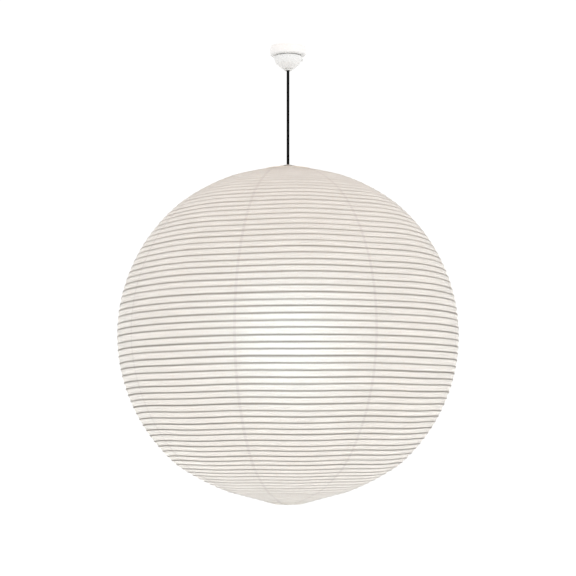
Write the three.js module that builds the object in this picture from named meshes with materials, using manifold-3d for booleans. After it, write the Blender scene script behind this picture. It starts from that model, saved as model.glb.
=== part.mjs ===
// Round paper pendant lantern: eight paper gores on one spiral bamboo rib, stretched
// between two wire hoops by a sprung wire frame, with a lampholder and bulb inside,
// hung on a flex from a twist-lock ceiling rosette.
// Millimetres, +Z up. The origin is on the ceiling face of the rosette.

import * as THREE from 'three';
import { mergeVertices } from 'three/addons/utils/BufferGeometryUtils.js';
import Module from 'manifold-3d';

const wasm = await Module();
wasm.setup();

// ---------------------------------------------------------------- driving dimensions

const GAP = 0.3; // between touching pieces

const SHADE_RADIUS = 375; // outside of the paper at its equator
const SHADE_CENTRE_Z = -646; // below the ceiling
const PAPER_THICKNESS = 0.4;
const GORE_COUNT = 8;
const FACETS_PER_GORE = 2;
const GORE_ROWS = 20; // rows of facets from the top hoop to the bottom hoop
const FIRST_SEAM_DEG = -16.1; // from the +X axis, and every 45 degrees from there

const CAP_ANGLE = THREE.MathUtils.degToRad(40); // how far from a pole the paper draws in
const CONE_START = THREE.MathUtils.degToRad(4.8); // next to the hoops it is pulled to a cone
const CONE_END = THREE.MathUtils.degToRad(20.8);
const TOP_CAP = { tip: 0.008, slack: 0.008, cone: 0.004 }; // drawn in by shares of the radius
const BOTTOM_CAP = { tip: 0.003, slack: 0.018, cone: 0.0065 };

const RIB_TURNS = 75;
const RIB_STEP = THREE.MathUtils.degToRad(2.18); // polar angle from one turn to the next
const RIB_TOP_ANGLE = THREE.MathUtils.degToRad(9.7); // where the spiral starts
const RIB_INSET = 2.8; // rib centre inside the paper's outer face
const RIB_RADIUS = 1.2;

const HOOP_WIRE_RADIUS = 1.8;
const TOP_HOOP = { radius: 51.8, z: SHADE_CENTRE_Z + 366 };
const BOTTOM_HOOP = { radius: 29, z: SHADE_CENTRE_Z - 368.6 };
const HOOP_CLEARANCE = 1.6; // hoop to the corners of the paper's edge
const CUFF_WIDTH = 16; // paper band glued inside each opening
const CUFF_START = 5; // from the paper's edge
const CUFF_THICKNESS = 0.6;

const WIRE_SIDES = 6;
const FRAME_WIRE_RADIUS = 1.6;
const LEG_X = 42;
const KNEE_REACH = TOP_HOOP.radius - HOOP_WIRE_RADIUS - 0.5; // how far out the knees come

const CORD_RADIUS = 3.1;
const CORD_TOP_Z = -44;
const CORD_BOTTOM_Z = SHADE_CENTRE_Z + 112;
const CORD_STEP = 6 * CORD_RADIUS;
const SWING_PIVOT_Z = -50;

const ROSETTE_RADIUS = 40;
const ROSETTE_HEIGHT = 22;
const MOUNTING_SCREW_X = 29;
const BLADE_RADIUS = 16; // contact blades, from the axis
const BLADE_THICKNESS = 1.4;
const BLADE_HALF_ANGLE = THREE.MathUtils.degToRad(16);
const SLOT_EASE = 0.05; // radians of slot left free at each end of a blade
const POCKET_EASE = 0.02; // and of the pocket that a blade stands in
const LOCK_TURN = THREE.MathUtils.degToRad(25); // from locked to free

const BULB_RADIUS = 30;
const SCREW_CAP_RADIUS = 13.2;
const HOLDER_SHELL_RADIUS = 19.7;

// ---------------------------------------------------------------- materials

function finish(color, roughness, metalness = 0) {
  return new THREE.MeshStandardMaterial({ color, roughness, metalness });
}

const FINISHES = {
  paper: finish(0xf1e9dd, 0.9),
  bamboo: finish(0x8f8578, 0.7),
  wire: finish(0xc9cbcc, 0.35, 0.9),
  rosette: finish(0xf4f4f1, 0.5),
  plug: finish(0xf6f6f3, 0.45),
  rubber: finish(0xeeeeea, 0.7),
  flex: finish(0x0c0c0c, 0.6),
  holder: finish(0xefefec, 0.4),
  ceramic: finish(0xf2f0ea, 0.3),
  brass: finish(0xc8a45a, 0.3, 1),
  nickel: finish(0xb9bbbd, 0.3, 1),
  screw: finish(0xa9abad, 0.35, 1),
  globe: finish(0xfbfaf4, 0.5),
  housing: finish(0xf3f3f0, 0.45),
  board: finish(0xe8ece8, 0.6),
  phosphor: finish(0xf2d675, 0.6),
  insulator: finish(0x1b1b1d, 0.3),
};

// ---------------------------------------------------------------- shape helpers

function positionsOnly(geometry) {
  const plain = geometry.clone();
  for (const name of Object.keys(plain.attributes)) {
    if (name !== 'position') {
      plain.deleteAttribute(name);
    }
  }
  return mergeVertices(plain, 1e-4);
}

function signedVolume(geometry) {
  const at = geometry.attributes.position;
  const index = geometry.index.array;
  const corners = [new THREE.Vector3(), new THREE.Vector3(), new THREE.Vector3()];
  let volume = 0;
  for (let i = 0; i < index.length; i += 3) {
    corners.forEach((corner, k) => corner.fromBufferAttribute(at, index[i + k]));
    volume += corners[0].dot(corners[1].cross(corners[2])) / 6;
  }
  return volume;
}

// merged, without collapsed triangles, and with its faces pointing out
function closed(geometry) {
  const merged = positionsOnly(geometry);
  const kept = [];
  const index = merged.index.array;
  for (let i = 0; i < index.length; i += 3) {
    const [a, b, c] = [index[i], index[i + 1], index[i + 2]];
    if (a !== b && b !== c && c !== a) {
      kept.push(a, b, c);
    }
  }
  merged.setIndex(kept);
  if (signedVolume(merged) < 0) {
    merged.setIndex(kept.reverse());
  }
  return merged;
}

function solid(geometry) {
  const shape = closed(geometry);
  return new wasm.Manifold(new wasm.Mesh({
    numProp: 3,
    vertProperties: new Float32Array(shape.attributes.position.array),
    triVerts: new Uint32Array(shape.index.array),
  }));
}

function fromSolid(manifold) {
  const mesh = manifold.getMesh();
  const geometry = new THREE.BufferGeometry();
  geometry.setAttribute('position', new THREE.Float32BufferAttribute(mesh.vertProperties, 3));
  geometry.setIndex(Array.from(mesh.triVerts));
  return geometry;
}

function cut(body, ...tools) {
  return fromSolid(tools.reduce((left, tool) => left.subtract(solid(tool)), solid(body)));
}

function join(first, ...others) {
  return fromSolid(others.reduce((sum, other) => sum.add(solid(other)), solid(first)));
}

// a profile of [radius, z] points turned round the Z axis; it closes on itself,
// or starts and ends on the axis
function turned(profile, segments = 20) {
  const onAxis = profile[0][0] === 0;
  const points = (onAxis ? profile : [...profile, profile[0]]).map(([r, z]) => new THREE.Vector2(r, z));
  return closed(new THREE.LatheGeometry(points, segments).rotateX(Math.PI / 2));
}

function disc(radius, lowZ, highZ, segments = 20) {
  return turned([[0, lowZ], [radius, lowZ], [radius, highZ], [0, highZ]], segments);
}

function sleeve(innerRadius, outerRadius, lowZ, highZ, segments = 20) {
  return turned(
    [[innerRadius, lowZ], [outerRadius, lowZ], [outerRadius, highZ], [innerRadius, highZ]],
    segments,
  );
}

function block(width, depth, height, x, y, z) {
  return new THREE.BoxGeometry(width, depth, height).translate(x, y, z);
}

function roundSection(radius, sides) {
  const points = [];
  for (let i = 0; i < sides; i += 1) {
    const angle = (i / sides) * 2 * Math.PI;
    points.push(new THREE.Vector2(radius * Math.cos(angle), radius * Math.sin(angle)));
  }
  return new THREE.Shape(points);
}

function tube(path, radius, steps, sides = 8) {
  return closed(new THREE.ExtrudeGeometry(roundSection(radius, sides), {
    steps,
    bevelEnabled: false,
    extrudePath: path,
  }));
}

// a wire's steps follow its own points, so that a short bend keeps its shape
class WirePath extends THREE.CatmullRomCurve3 {
  getPointAt(u, target) {
    return this.getPoint(u, target);
  }

  getTangentAt(u, target) {
    return this.getTangent(u, target);
  }
}

// a bent wire through [x, z] points in the plane y = 0, given from the shade's centre
function bentWire(points, stepsPerBend = 2) {
  const path = new WirePath(
    points.map(([x, z]) => new THREE.Vector3(x, 0, SHADE_CENTRE_Z + z)),
    false,
    'centripetal',
  );
  return tube(path, FRAME_WIRE_RADIUS, stepsPerBend * (points.length - 1), WIRE_SIDES);
}

function wireRing(ringRadius, wireRadius, z, segments) {
  const ring = new THREE.TorusGeometry(ringRadius, wireRadius, WIRE_SIDES, segments);
  return closed(ring.translate(0, 0, z));
}

// part of a flat ring between two angles, standing on lowZ
function arcPlate(innerRadius, outerRadius, startAngle, endAngle, lowZ, highZ) {
  const shape = new THREE.Shape();
  shape.absarc(0, 0, outerRadius, startAngle, endAngle, false);
  shape.absarc(0, 0, innerRadius, endAngle, startAngle, true);
  return closed(new THREE.ExtrudeGeometry(shape, {
    depth: highZ - lowZ,
    bevelEnabled: false,
    curveSegments: 5,
  }).translate(0, 0, lowZ));
}

const lantern = new THREE.Group();

function add(name, finishName, geometry) {
  const mesh = new THREE.Mesh(geometry, FINISHES[finishName]);
  mesh.name = name;
  lantern.add(mesh);
  return mesh;
}

// ---------------------------------------------------------------- ceiling rosette

function addRosette() {
  const baseThickness = 5;
  const slabTopZ = -19;
  const cableHole = disc(5, -baseThickness - 1, 1, 16).translate(0, 12, 0);
  const screwHoles = [-1, 1].map((side) => (
    disc(2.4, -baseThickness - 1, 1, 12).translate(side * MOUNTING_SCREW_X, 0, 0)
  ));
  add('rosette_base', 'rosette', cut(
    disc(ROSETTE_RADIUS - 1.5, -baseThickness, 0, 32),
    cableHole,
    ...screwHoles,
  ));

  const drum = turned([
    [0, -ROSETTE_HEIGHT],
    [ROSETTE_RADIUS - 2, -ROSETTE_HEIGHT],
    [ROSETTE_RADIUS, -ROSETTE_HEIGHT + 2],
    [ROSETTE_RADIUS, -baseThickness - GAP],
    [ROSETTE_RADIUS - 2.5, -baseThickness - GAP],
    [ROSETTE_RADIUS - 2.5, slabTopZ],
    [0, slabTopZ],
  ], 32);
  const slots = [0, Math.PI].flatMap((side) => {
    const halfSlot = BLADE_HALF_ANGLE + SLOT_EASE;
    const startAngle = side - halfSlot;
    const entryAngle = side + LOCK_TURN - halfSlot;
    const endAngle = side + LOCK_TURN + halfSlot;
    const [lowZ, highZ] = [-ROSETTE_HEIGHT - 1, slabTopZ + 1];
    return [
      arcPlate(BLADE_RADIUS - 1.2, BLADE_RADIUS + 1.2, startAngle, endAngle, lowZ, highZ),
      arcPlate(BLADE_RADIUS, BLADE_RADIUS + 5.2, entryAngle, endAngle, lowZ, highZ),
    ];
  });
  add('rosette_cover', 'rosette', cut(drum, ...slots));

  for (const [sideName, side] of [['left', -1], ['right', 1]]) {
    const x = side * MOUNTING_SCREW_X;
    add(`mounting_screw_${sideName}`, 'screw', turned([
      [0, -8.6],
      [2.5, -8.4],
      [4, -7],
      [4, -baseThickness - GAP],
      [2, -baseThickness - GAP],
      [2, -GAP],
      [0, -GAP],
    ], 12).translate(x, 0, 0));

    const middle = side > 0 ? 0 : Math.PI;
    add(`contact_spring_${sideName}`, 'brass', arcPlate(
      BLADE_RADIUS - 2.6,
      BLADE_RADIUS - 1.3,
      middle - BLADE_HALF_ANGLE,
      middle + BLADE_HALF_ANGLE,
      slabTopZ + GAP,
      -baseThickness - GAP,
    ));
  }
}

// ---------------------------------------------------------------- plug on the cord

function addPlug() {
  const insulatorTopZ = -22.5;
  const insulatorLowZ = -27.5;
  const pocketZ = -26;
  const hookZ = -11.4;
  const halfThickness = BLADE_THICKNESS / 2;

  const pockets = [0, Math.PI].map((side) => arcPlate(
    BLADE_RADIUS - halfThickness - GAP,
    BLADE_RADIUS + halfThickness + GAP,
    side - BLADE_HALF_ANGLE - POCKET_EASE,
    side + BLADE_HALF_ANGLE + POCKET_EASE,
    pocketZ - GAP,
    insulatorTopZ + 1,
  ));
  add('plug_insulator', 'plug', cut(disc(28, insulatorLowZ, insulatorTopZ, 28), ...pockets));

  for (const [sideName, side] of [['left', Math.PI], ['right', 0]]) {
    const [low, high] = [side - BLADE_HALF_ANGLE, side + BLADE_HALF_ANGLE];
    const [inner, outer] = [BLADE_RADIUS - halfThickness, BLADE_RADIUS + halfThickness];
    add(`plug_blade_${sideName}`, 'brass', join(
      arcPlate(inner, outer, low, high, pocketZ, hookZ + BLADE_THICKNESS),
      arcPlate(inner, outer + 3.2, low, high, hookZ, hookZ + BLADE_THICKNESS),
    ));
  }

  const shell = turned([
    [28.4, -24],
    [31, -24],
    [31, -31],
    [27, -40],
    [18, -48],
    [13, -52],
    [8.4, -52],
    [8.4, -46],
    [15, -43.6],
    [24, -38],
    [27.6, -31.4],
    [27.6, -27.8],
    [28.4, -27.8],
  ], 24);
  add('plug_cover', 'plug', cut(shell, block(12, 8.6, 5.4, 28, 0, -31.5)));

  add('lock_button', 'rubber', join(
    block(9, 7.8, 4.6, 28.7, 0, -31.5),
    block(1.2, 10.6, 5.6, 24, 0, -31.5),
  ));

  const boreAtPivot = CORD_RADIUS + 0.85;
  add('cord_bushing', 'rubber', turned([
    [boreAtPivot, SWING_PIVOT_Z],
    [boreAtPivot + 1.9, -56],
    [7.4, -56],
    [9.4, -54.4],
    [9.4, -52.3],
    [8.1, -52.3],
    [8.1, -46.3],
    [boreAtPivot + 1.2, -46.3],
  ], 20));

  add('cord_anchor', 'holder', block(16, 10, 7, 0, 0, -39.7));
}

function addCord() {
  const path = new THREE.LineCurve3(
    new THREE.Vector3(0, 0, CORD_TOP_Z),
    new THREE.Vector3(0, 0, CORD_BOTTOM_Z),
  );
  add('cord', 'flex', tube(path, CORD_RADIUS, Math.round((CORD_TOP_Z - CORD_BOTTOM_Z) / CORD_STEP)));
}

// ---------------------------------------------------------------- lampholder

// heights in the lampholder and the bulb are from the shade's centre
function addTurned(name, finishName, profile, segments) {
  return add(name, finishName, turned(profile, segments).translate(0, 0, SHADE_CENTRE_Z));
}

function addLampholder() {
  const bore = CORD_RADIUS + GAP;
  addTurned('holder_cord_grip', 'holder', [
    [bore, 118.4], [7.5, 118.4], [7.5, 124], [5, 130], [bore, 130],
  ]);
  addTurned('holder_cap', 'holder', [
    [19.5, 92.3], [22.5, 92.3], [22.5, 103], [18.5, 111], [9, 118],
    [bore, 118], [bore, 115.5], [16, 109.5], [19.5, 102],
  ]);
  addTurned('holder_shell', 'holder', [
    [16.4, 50], [HOLDER_SHELL_RADIUS, 50], [HOLDER_SHELL_RADIUS, 75], [22.5, 78],
    [22.5, 92], [17.6, 92], [17.6, 82], [16.4, 82],
  ]);
  add('holder_core', 'ceramic', disc(17.2, 85, 91.6).translate(0, 0, SHADE_CENTRE_Z));
  addTurned('holder_screw_shell', 'nickel', [[13.8, 55], [14.6, 55], [14.6, 80], [13.8, 80]]);
  add('holder_centre_contact', 'brass', block(6, 4, 3.6, 0, 0, SHADE_CENTRE_Z + 82.8));
  add('holder_side_contact', 'brass', block(2.6, 5, 4.2, 12.8, 0, SHADE_CENTRE_Z + 82.5));

  const ringBore = HOLDER_SHELL_RADIUS + GAP;
  addTurned('shade_ring_upper', 'holder', [
    [ringBore, 64.6], [27, 64.6], [27, 68], [25, 70.4], [ringBore, 70.4],
  ], 24);
  addTurned('shade_ring_lower', 'holder', [
    [ringBore, 53.6], [26, 53.6], [28, 55.6], [28, 60.6], [ringBore, 60.6],
  ], 24);
}

// ---------------------------------------------------------------- bulb

function globeProfile() {
  const wall = 1.2;
  const rimZ = 11.7;
  const steps = 6;
  const arc = (radius, from, to) => Array.from({ length: steps + 1 }, (_, i) => {
    const angle = from + ((to - from) * i) / steps;
    return [radius * Math.sin(angle), -radius * Math.cos(angle)];
  });
  const outerRim = Math.PI - Math.acos(rimZ / BULB_RADIUS);
  const innerRim = Math.PI - Math.acos(rimZ / (BULB_RADIUS - wall));
  const profile = [...arc(BULB_RADIUS, 0, outerRim), ...arc(BULB_RADIUS - wall, innerRim, 0)];
  profile[0][0] = 0;
  profile[profile.length - 1][0] = 0;
  return profile;
}

function addBulb() {
  const r = SCREW_CAP_RADIUS;
  addTurned('bulb_screw_cap', 'nickel', [
    [r - 0.7, 54], [r, 54], [r, 73.5], [9, 77.4], [5.3, 77.4], [5.3, 76.7], [8.7, 76.7], [r - 0.7, 73],
  ]);
  add('bulb_cap_insulator', 'insulator', disc(5, 76.8, 78.8, 16).translate(0, 0, SHADE_CENTRE_Z));
  add('bulb_tip_contact', 'nickel', disc(3.6, 79.1, 80, 16).translate(0, 0, SHADE_CENTRE_Z));
  addTurned('bulb_housing', 'housing', [
    [12.8, 53.7], [14, 53.7], [15.6, 47], [22, 30], [27.6, 12], [26.4, 12], [20.8, 30], [14.4, 47],
  ]);
  add('bulb_driver_board', 'board', block(20, 1.6, 34, 0, 0, SHADE_CENTRE_Z + 34));
  add('led_board', 'board', disc(24.8, 13, 14.6, 24).translate(0, 0, SHADE_CENTRE_Z));
  add('led_emitter', 'phosphor', sleeve(13, 19, 11.7, 12.7, 24).translate(0, 0, SHADE_CENTRE_Z));
  addTurned('bulb_globe', 'globe', globeProfile(), 20);
}

// ---------------------------------------------------------------- wire frame

function addFrame() {
  const kneeX = KNEE_REACH - FRAME_WIRE_RADIUS;
  const barJointX = 39;
  for (const [sideName, side] of [['left', -1], ['right', 1]]) {
    add(`frame_leg_${sideName}`, 'wire', bentWire([
      [side * LEG_X, -330], [side * LEG_X, 0], [side * LEG_X, 344],
      [side * (LEG_X + 1.2), 351], [side * kneeX, 359.6],
      [side * (kneeX - 1.5), 363], [side * (barJointX + 2), 366.2],
    ]));
  }

  const eyeRadius = 9;
  const eyeZ = 376;
  const halfBars = [-1, 1].map((side) => bentWire([
    [side * (barJointX + 1.4), 367.1], [side * 30, 370.6], [side * 18, 374.6], [side * eyeRadius, eyeZ],
  ]));
  const eye = wireRing(eyeRadius, FRAME_WIRE_RADIUS, SHADE_CENTRE_Z + eyeZ, 16);
  add('frame_top_bar', 'wire', join(eye, ...halfBars));

  const clampRingRadius = 22.3;
  const clampZ = 62.6;
  const armEndX = LEG_X - FRAME_WIRE_RADIUS - GAP;
  const arms = [-1, 1].map((side) => bentWire([
    [side * clampRingRadius, clampZ], [side * armEndX, clampZ],
  ]));
  const clampRing = wireRing(clampRingRadius, FRAME_WIRE_RADIUS, SHADE_CENTRE_Z + clampZ, 20);
  add('frame_holder_ring', 'wire', join(clampRing, ...arms));

  const overHoopZ = BOTTOM_HOOP.z - SHADE_CENTRE_Z + HOOP_WIRE_RADIUS + FRAME_WIRE_RADIUS + GAP;
  const outline = [[LEG_X, -330.3], [LEG_X - 1, -343], [37, -356], [BOTTOM_HOOP.radius, overHoopZ + 0.2]];
  const insideHoop = [[22, -367], [11, -370]];
  const half = [...outline, ...insideHoop];
  add('frame_foot', 'wire', bentWire([
    ...half,
    [0, -370.9],
    ...half.map(([x, z]) => [-x, z]).reverse(),
  ]));
}

// ---------------------------------------------------------------- paper shade

// how far the paper is drawn in towards the centre, as a share of the radius,
// at a polar angle from its nearer pole
function drawnIn(angleFromPole, cap) {
  const t = THREE.MathUtils.clamp(angleFromPole / CAP_ANGLE, 0, 1);
  const u = THREE.MathUtils.clamp((angleFromPole - CONE_START) / (CONE_END - CONE_START), 0, 1);
  return cap.tip * (1 - t) ** 2 + cap.slack * 4 * t * (1 - t) + cap.cone * 4 * u * (1 - u);
}

// [radius, z] of the shade's surface, set in from the outer face by inset
function shadePoint(polarAngle, inset) {
  const upper = polarAngle < Math.PI / 2;
  const fromPole = upper ? polarAngle : Math.PI - polarAngle;
  const distance = SHADE_RADIUS * (1 - drawnIn(fromPole, upper ? TOP_CAP : BOTTOM_CAP)) - inset;
  return [distance * Math.sin(polarAngle), SHADE_CENTRE_Z + distance * Math.cos(polarAngle)];
}

// polar angle at which the surface reaches a radius near a pole
function angleAtRadius(radius, nearBottom) {
  let angle = Math.asin(radius / SHADE_RADIUS);
  for (let i = 0; i < 6; i += 1) {
    const reached = shadePoint(nearBottom ? Math.PI - angle : angle, 0)[0];
    angle *= radius / reached;
  }
  return nearBottom ? Math.PI - angle : angle;
}

function shadeBand(fromAngle, toAngle, rows, inset, thickness) {
  const outer = [];
  const inner = [];
  for (let i = 0; i <= rows; i += 1) {
    const angle = fromAngle + ((toAngle - fromAngle) * i) / rows;
    outer.push(shadePoint(angle, inset));
    inner.unshift(shadePoint(angle, inset + thickness));
  }
  const seamAngle = THREE.MathUtils.degToRad(FIRST_SEAM_DEG);
  return turned([...outer, ...inner], GORE_COUNT * FACETS_PER_GORE).rotateZ(seamAngle);
}

// everything between two seams, as a tall wedge whose sides stand back half a gap
function goreWedge(startAngle) {
  const span = (2 * Math.PI) / GORE_COUNT;
  const middle = startAngle + span / 2;
  const apexDistance = GAP / 2 / Math.sin(span / 2);
  const apex = new THREE.Vector2(Math.cos(middle), Math.sin(middle)).multiplyScalar(apexDistance);
  const reach = 2 * SHADE_RADIUS;
  const corners = [startAngle, startAngle + span].map((angle) => (
    new THREE.Vector2(Math.cos(angle), Math.sin(angle)).multiplyScalar(reach).add(apex)
  ));
  return closed(new THREE.ExtrudeGeometry(new THREE.Shape([apex, ...corners]), {
    depth: 3 * SHADE_RADIUS,
    bevelEnabled: false,
  }).translate(0, 0, SHADE_CENTRE_Z - 1.5 * SHADE_RADIUS));
}

class SpiralPath extends THREE.Curve {
  getPoint(t, target = new THREE.Vector3()) {
    const turn = t * RIB_TURNS;
    const [radius, z] = shadePoint(RIB_TOP_ANGLE + turn * RIB_STEP, RIB_INSET);
    const seamAngle = THREE.MathUtils.degToRad(FIRST_SEAM_DEG);
    const angle = seamAngle - turn * 2 * Math.PI;
    return target.set(radius * Math.cos(angle), radius * Math.sin(angle), z);
  }

  // even steps round the turns, so that the corners of the rib and the paper line up
  getPointAt(u, target) {
    return this.getPoint(u, target);
  }

  getTangentAt(u, target) {
    return this.getTangent(u, target);
  }
}

function addShade() {
  const paperTopAngle = angleAtRadius(TOP_HOOP.radius + HOOP_WIRE_RADIUS + HOOP_CLEARANCE, false);
  const paperLowAngle = angleAtRadius(BOTTOM_HOOP.radius + HOOP_WIRE_RADIUS + HOOP_CLEARANCE, true);

  const shell = solid(shadeBand(paperTopAngle, paperLowAngle, GORE_ROWS, 0, PAPER_THICKNESS));
  for (let i = 0; i < GORE_COUNT; i += 1) {
    const startAngle = THREE.MathUtils.degToRad(FIRST_SEAM_DEG) + (i * 2 * Math.PI) / GORE_COUNT;
    add(`paper_gore_${i + 1}`, 'paper', fromSolid(shell.intersect(solid(goreWedge(startAngle)))));
  }

  const steps = RIB_TURNS * GORE_COUNT * FACETS_PER_GORE;
  add('rib_spiral', 'bamboo', tube(new SpiralPath(), RIB_RADIUS, steps, 3));

  add('top_hoop', 'wire', wireRing(TOP_HOOP.radius, HOOP_WIRE_RADIUS, TOP_HOOP.z, 32));
  add('bottom_hoop', 'wire', wireRing(BOTTOM_HOOP.radius, HOOP_WIRE_RADIUS, BOTTOM_HOOP.z, 24));

  const cuffInset = RIB_INSET + RIB_RADIUS + 1;
  const near = CUFF_START / SHADE_RADIUS;
  const far = near + CUFF_WIDTH / SHADE_RADIUS;
  for (const [name, edgeAngle, inward] of [
    ['top_cuff', paperTopAngle, 1],
    ['bottom_cuff', paperLowAngle, -1],
  ]) {
    const [from, to] = [edgeAngle + inward * near, edgeAngle + inward * far];
    add(name, 'paper', shadeBand(from, to, 2, cuffInset, CUFF_THICKNESS));
  }
}

addRosette();
addPlug();
addCord();
addLampholder();
addBulb();
addFrame();
addShade();

export default lantern;
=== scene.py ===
"""A round paper pendant lantern, lit from inside and hung on a black flex.

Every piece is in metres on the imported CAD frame: Z is up, the origin is on the ceiling
face of the rosette and -Y is the front. Profiles are written in millimetres.
"""

import math

import bmesh
import bpy
import numpy as np
from mathutils import Matrix, Vector


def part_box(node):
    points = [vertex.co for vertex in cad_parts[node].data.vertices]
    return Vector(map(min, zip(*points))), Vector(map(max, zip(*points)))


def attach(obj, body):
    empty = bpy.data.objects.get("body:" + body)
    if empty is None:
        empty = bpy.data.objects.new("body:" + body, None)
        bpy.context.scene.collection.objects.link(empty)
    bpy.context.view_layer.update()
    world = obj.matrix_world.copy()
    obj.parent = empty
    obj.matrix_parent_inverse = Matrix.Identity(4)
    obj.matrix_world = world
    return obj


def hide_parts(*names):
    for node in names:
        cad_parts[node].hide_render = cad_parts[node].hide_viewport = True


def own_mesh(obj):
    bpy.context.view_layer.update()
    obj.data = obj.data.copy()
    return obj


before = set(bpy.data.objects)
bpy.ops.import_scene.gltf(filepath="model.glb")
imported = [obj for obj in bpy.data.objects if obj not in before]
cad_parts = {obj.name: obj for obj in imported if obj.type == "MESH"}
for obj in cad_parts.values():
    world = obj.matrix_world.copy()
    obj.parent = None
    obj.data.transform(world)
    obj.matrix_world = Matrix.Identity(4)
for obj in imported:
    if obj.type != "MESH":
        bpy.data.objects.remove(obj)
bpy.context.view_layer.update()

MM = 0.001

# ---------------------------------------------------------------- places and sizes

globe_low, globe_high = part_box("bulb_globe")
SHADE_CENTRE_Z = globe_low.z + (globe_high.x - globe_low.x) / 2

SHADE_RADIUS = 0.375
GORE_COUNT = 8
GORE_SPAN = 2 * math.pi / GORE_COUNT
FIRST_SEAM = math.radians(-16.1)  # from the +X axis
COLUMNS_PER_GORE = 12
CAP_ANGLE = math.radians(40)  # how far from a pole the paper draws in
CONE_START = math.radians(4.8)  # next to the hoops it is pulled to a cone
CONE_END = math.radians(20.8)
TOP_CAP = (0.008, 0.008, 0.004)  # tip, slack and cone, drawn in by shares of the radius
BOTTOM_CAP = (0.003, 0.018, 0.0065)

RIB_TURNS = 75
RIB_STEP = math.radians(2.18)  # polar angle from one turn of the rib to the next
RIB_TOP_ANGLE = math.radians(9.7)
RIB_HALF_WIDTH = 1.42 * MM
RIB_WIDENING = 0.5  # share of that width gained from the top of the shade to the bottom
RIB_WIDTH_WAVES = ((0.1, 0.11), (0.08, 0.037))  # share of that width, radians per column
RIB_HALF_THICKNESS = 0.7 * MM
RIB_INSET = RIB_HALF_THICKNESS + 0.15 * MM
ROWS_PER_STEP = 4  # rows of paper between two turns of the rib
PAPER_SAG = 1.0 * MM  # how far the paper dips between two turns
SEAM_PULL = math.radians(0.2)  # how far the seams pull the rib towards the equator
RIB_WANDER = math.radians(0.05)  # unevenness of a rib wound by hand
RIB_WANDER_WAVES = ((2.3, 1.1), (5.2, 4.2), (8.3, 2.6))  # radians per turn, phase
LAP_WIDTH = 6.0 * MM  # glued overlap of two gores
LAP_LIFT = 0.3 * MM
SEAM_NUDGE = 1e-6  # how far inside its gore a column on the seam is worked out, in radians

HOOP_WIRE_RADIUS = 1.8 * MM
TOP_HOOP_RADIUS = 51.8 * MM
BOTTOM_HOOP_RADIUS = 29 * MM
TOP_HOOP_Z = sum(corner.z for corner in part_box("top_hoop")) / 2
BOTTOM_HOOP_Z = sum(corner.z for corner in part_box("bottom_hoop")) / 2
HOOP_WRAP = 0.3 * MM  # paper wrapped round a hoop's wire
WRAP_HALF_ANGLE = 0.8 * math.pi  # each way from the outside of the wire
PAPER_EDGE_GAP = 0.3 * MM
CUFF_START = 5 * MM  # from the edge of the gores
CUFF_WIDTH = 16 * MM
CUFF_INSET = 5.2 * MM

FRAME_WIRE_RADIUS = 1.6 * MM
LEG_X = 42.0  # these four in millimetres, heights from the shade's centre
KNEE_X = 47.9
CLAMP_Z = 62.6
EYE_Z = 376

CORD_RADIUS = 3.1 * MM
CORD_TOP_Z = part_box("cord")[1].z
CORD_BOTTOM_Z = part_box("cord")[0].z

GLOBE_GLOW = 53.0
GLOBE_COLOUR = (1.0, 0.97, 0.945)
BEAM_COLOUR = (0.48, 0.73, 0.79)  # the light that passes straight on is the coolest

# ---------------------------------------------------------------- camera

CAMERA_DISTANCE = 3.795
CAMERA_ELEVATION = math.radians(-3.2)
CAMERA_TILT = math.radians(1.56)  # upwards from the shade's centre
LENS_MM = 107.6
SENSOR_MM = 36


def add_camera():
    data = bpy.data.cameras.new("camera")
    data.lens = LENS_MM
    data.sensor_width = SENSOR_MM
    camera = bpy.data.objects.new("camera", data)
    bpy.context.scene.collection.objects.link(camera)
    camera.location = (
        0,
        -CAMERA_DISTANCE * math.cos(CAMERA_ELEVATION),
        SHADE_CENTRE_Z + CAMERA_DISTANCE * math.sin(CAMERA_ELEVATION),
    )
    camera.rotation_euler = (math.pi / 2 - CAMERA_ELEVATION + CAMERA_TILT, 0, 0)
    bpy.context.scene.camera = camera


# ---------------------------------------------------------------- node trees


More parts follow.
